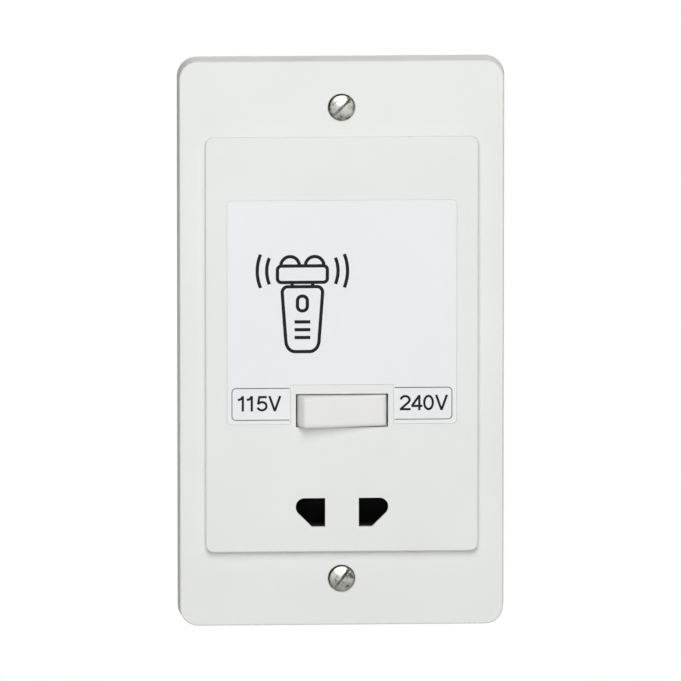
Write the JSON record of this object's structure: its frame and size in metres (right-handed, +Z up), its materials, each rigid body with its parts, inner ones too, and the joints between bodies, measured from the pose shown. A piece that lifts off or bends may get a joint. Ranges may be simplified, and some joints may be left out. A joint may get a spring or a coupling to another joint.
{
  "type": "shaver socket",
  "caption": "Wall socket for electric shavers: white plate with screws, pin apertures behind a shutter, a rocker that selects the voltage, and an isolating transformer behind.",
  "frame": {"origin": "middle of the plate, in the plane of the wall behind the plate's rim", "axes": "+Z up, +Y into the wall, the front of the plate faces -Y"},
  "size_m": [0.0826, 0.0541, 0.1452],
  "materials": {
    "plate_white": "semi-gloss white thermoset",
    "label_white": "satin bluish white",
    "rocker_white": "semi-gloss warm white",
    "nickel": "nickel plated",
    "zinc": "zinc plated",
    "spring_steel": "plain spring wire",
    "contact_brass": "rolled brass",
    "tinned": "tinned",
    "black_moulding": "matt black moulding",
    "natural_nylon": "natural nylon",
    "cutout_case": "dark case",
    "button_red": "red",
    "lead_brown": "brown insulation",
    "lead_blue": "blue insulation",
    "lead_black": "black insulation",
    "lead_white": "white insulation",
    "lead_red": "red insulation",
    "lead_yellow": "yellow insulation",
    "core_steel": "varnished laminations",
    "enamelled_copper": "enamelled copper wire"
  },
  "bodies": {
    "unit": {"front_plate": "plate_white", "label_insert": "label_white", "fixing_screws": "nickel", "chassis": "black_moulding", "chassis_screws": "zinc", "contact_block": "black_moulding", "socket_contact_left": "contact_brass", "socket_contact_right": "contact_brass", "common_terminal": "contact_brass", "tap_contact_left": "contact_brass", "tap_contact_right": "contact_brass", "mains_switch": "black_moulding", "shutter_springs": "spring_steel", "transformer_core": "core_steel", "bobbin": "natural_nylon", "primary_winding": "enamelled_copper", "secondary_winding": "enamelled_copper", "winding_lugs": "tinned", "thermal_cutout": "cutout_case", "upper_strap": "zinc", "lower_strap": "zinc", "strap_screws": "zinc", "mains_block": "natural_nylon", "mains_terminals": "contact_brass", "clamp_screws": "zinc", "lead_live": "lead_brown", "lead_switched": "lead_brown", "lead_neutral": "lead_blue", "lead_zero": "lead_black", "lead_low_tap": "lead_white", "lead_high_tap": "lead_red", "lead_common": "lead_yellow"},
    "rocker": {"voltage_rocker": "rocker_white", "rocker_plunger": "contact_brass", "plunger_spring": "spring_steel"},
    "seesaw": {"moving_contact": "contact_brass"},
    "shutter": {"shutter": "black_moulding"},
    "button": {"switch_button": "button_red"}
  },
  "joints": [
    {"name": "rocker_tilt", "type": "hinge", "parent": "unit", "child": "rocker", "pos_m": [0, -0.0059, -0.0168], "axis": [0, 0, -1], "range_deg": [0, 18]},
    {"name": "seesaw_tilt", "type": "hinge", "parent": "unit", "child": "seesaw", "pos_m": [0, 0.00526, -0.0168], "axis": [0, 0, 1], "range_deg": [0, 16]},
    {"name": "shutter_slide", "type": "slide", "parent": "unit", "child": "shutter", "axis": [0, 0, 1], "range_m": [0, 0.0086], "stiffness_N_per_m": 120, "springref_m": -0.004, "deforming": ["shutter_springs"]},
    {"name": "button_push", "type": "slide", "parent": "unit", "child": "button", "axis": [0, 1, 0], "range_m": [0, 0.0011]}
  ],
  "couplings": [
    {"joint": "seesaw_tilt", "follows": "rocker_tilt", "ratio": 0.8888},
    {"joint": "button_push", "follows": "shutter_slide", "ratio": 0.1279}
  ]
}
